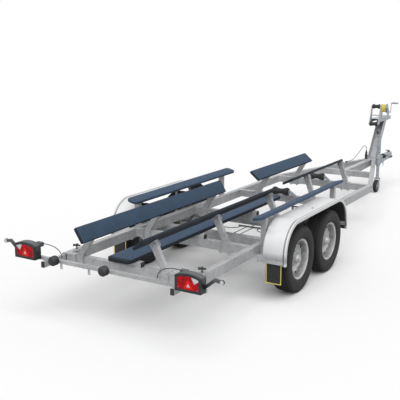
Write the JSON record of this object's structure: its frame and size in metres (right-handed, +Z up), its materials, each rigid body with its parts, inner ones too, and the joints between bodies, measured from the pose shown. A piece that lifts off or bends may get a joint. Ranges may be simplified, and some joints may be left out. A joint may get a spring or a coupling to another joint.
{
  "type": "tandem-axle boat trailer",
  "caption": "Galvanised tandem-axle boat trailer with V drawbar, ribbed navy bunks, keel rollers, winch post, jockey wheel, mudguards and a pull-out light board.",
  "frame": {"origin": "centre of the bounding box, on the ground under the trailer", "axes": "+Y forward to the coupling, +X to the trailer's right, +Z up"},
  "size_m": [2.216, 7.765, 1.363],
  "materials": {
    "galvanised": "hot-dip galvanised",
    "bright_zinc": "bright zinc plate",
    "guard_sheet": "bright galvanised sheet",
    "wheel_silver": "silver paint",
    "tyre_rubber": "matte",
    "bunk_pad": "ribbed navy pad",
    "black_rubber": "matte",
    "black_plastic": "moulded",
    "red_lens": "clear moulded",
    "clear_lens": "clear moulded",
    "yellow_webbing": "woven strap"
  },
  "bodies": {
    "chassis": {"axle_tubes": "galvanised", "bow_stop": "galvanised", "brake_cables": "black_rubber", "brake_rod": "galvanised", "bunk_struts": "galvanised", "cable_plug": "black_plastic", "clamp_screws": "black_plastic", "coupling_bellows": "black_rubber", "coupling_handle": "black_plastic", "coupling_head": "bright_zinc", "coupling_housing": "galvanised", "crossmembers": "galvanised", "drawbar_beams": "galvanised", "drawbar_spine": "galvanised", "front_bunks": "bunk_pad", "front_cable": "black_rubber", "handbrake_lever": "bright_zinc", "jockey_clamp": "bright_zinc", "jockey_tube": "bright_zinc", "keel_brackets": "bright_zinc", "keel_plank": "bunk_pad", "keel_tubes": "galvanised", "mudflaps": "black_rubber", "mudguard_left": "guard_sheet", "mudguard_right": "guard_sheet", "mudguard_stays": "galvanised", "rear_bunks": "bunk_pad", "side_bunks": "bunk_pad", "side_posts": "galvanised", "side_rails": "galvanised", "strut_clamps": "galvanised", "swing_arms": "galvanised", "winch_frame": "bright_zinc", "winch_post": "galvanised", "winch_saddle": "bright_zinc"},
    "wheel_rear_left": {"tyre_rear_left": "tyre_rubber", "wheel_rear_left": "wheel_silver"},
    "wheel_rear_right": {"tyre_rear_right": "tyre_rubber", "wheel_rear_right": "wheel_silver"},
    "wheel_front_left": {"tyre_front_left": "tyre_rubber", "wheel_front_left": "wheel_silver"},
    "wheel_front_right": {"tyre_front_right": "tyre_rubber", "wheel_front_right": "wheel_silver"},
    "keel_roller_rear": {"keel_roller_rear": "black_rubber"},
    "keel_roller_front": {"keel_roller_front": "black_rubber"},
    "bow_roller_low": {"bow_roller_low": "black_rubber"},
    "bow_roller_high": {"bow_roller_high": "black_rubber"},
    "winch_drum": {"winch_drum": "bright_zinc", "winch_strap": "yellow_webbing"},
    "winch_crank": {"winch_crank": "bright_zinc"},
    "jockey_leg": {"jockey_inner_tube": "bright_zinc"},
    "jockey_fork": {"jockey_fork": "bright_zinc"},
    "jockey_wheel": {"jockey_wheel": "black_rubber"},
    "light_board": {"slide_tubes": "galvanised", "light_bar": "galvanised", "slide_caps": "black_plastic", "lamp_bodies": "black_plastic", "red_lenses": "red_lens", "clear_lenses": "clear_lens", "lamp_leads": "black_rubber"}
  },
  "joints": [
    {"name": "wheel_rear_left_spin", "type": "hinge", "parent": "chassis", "child": "wheel_rear_left", "pos_m": [-0.87, -2.0675, 0.325], "axis": [1, 0, 0], "continuous": true},
    {"name": "wheel_rear_right_spin", "type": "hinge", "parent": "chassis", "child": "wheel_rear_right", "pos_m": [0.87, -2.0675, 0.325], "axis": [1, 0, 0], "continuous": true},
    {"name": "wheel_front_left_spin", "type": "hinge", "parent": "chassis", "child": "wheel_front_left", "pos_m": [-0.87, -1.3315, 0.325], "axis": [1, 0, 0], "continuous": true},
    {"name": "wheel_front_right_spin", "type": "hinge", "parent": "chassis", "child": "wheel_front_right", "pos_m": [0.87, -1.3315, 0.325], "axis": [1, 0, 0], "continuous": true},
    {"name": "keel_roller_rear_spin", "type": "hinge", "parent": "chassis", "child": "keel_roller_rear", "pos_m": [0, -0.4825, 0.596], "axis": [1, 0, 0], "continuous": true},
    {"name": "keel_roller_front_spin", "type": "hinge", "parent": "chassis", "child": "keel_roller_front", "pos_m": [0, 0.6325, 0.596], "axis": [1, 0, 0], "continuous": true},
    {"name": "bow_roller_low_spin", "type": "hinge", "parent": "chassis", "child": "bow_roller_low", "pos_m": [0, 2.9225, 1.06], "axis": [1, 0, 0], "continuous": true},
    {"name": "bow_roller_high_spin", "type": "hinge", "parent": "chassis", "child": "bow_roller_high", "pos_m": [0, 3.0175, 1.325], "axis": [1, 0, 0], "continuous": true},
    {"name": "winch_drum_spin", "type": "hinge", "parent": "chassis", "child": "winch_drum", "pos_m": [0, 3.4325, 1.263], "axis": [1, 0, 0], "continuous": true},
    {"name": "winch_crank_spin", "type": "hinge", "parent": "chassis", "child": "winch_crank", "pos_m": [0, 3.49437, 1.20113], "axis": [1, 0, 0], "continuous": true},
    {"name": "jockey_lift", "type": "slide", "parent": "chassis", "child": "jockey_leg", "axis": [0, 0, 1], "range_m": [0, 0.165]},
    {"name": "jockey_swivel", "type": "hinge", "parent": "jockey_leg", "child": "jockey_fork", "pos_m": [0.12206, 2.8625, 0.228], "axis": [0, 0, 1], "continuous": true},
    {"name": "jockey_wheel_spin", "type": "hinge", "parent": "jockey_fork", "child": "jockey_wheel", "pos_m": [0.12206, 2.8175, 0.1], "axis": [1, 0, 0], "continuous": true},
    {"name": "light_board_slide", "type": "slide", "parent": "chassis", "child": "light_board", "axis": [0, -1, 0], "range_m": [0, 0.6]}
  ],
  "couplings": [
    {"joint": "winch_crank_spin", "follows": "winch_drum_spin", "ratio": -4}
  ]
}
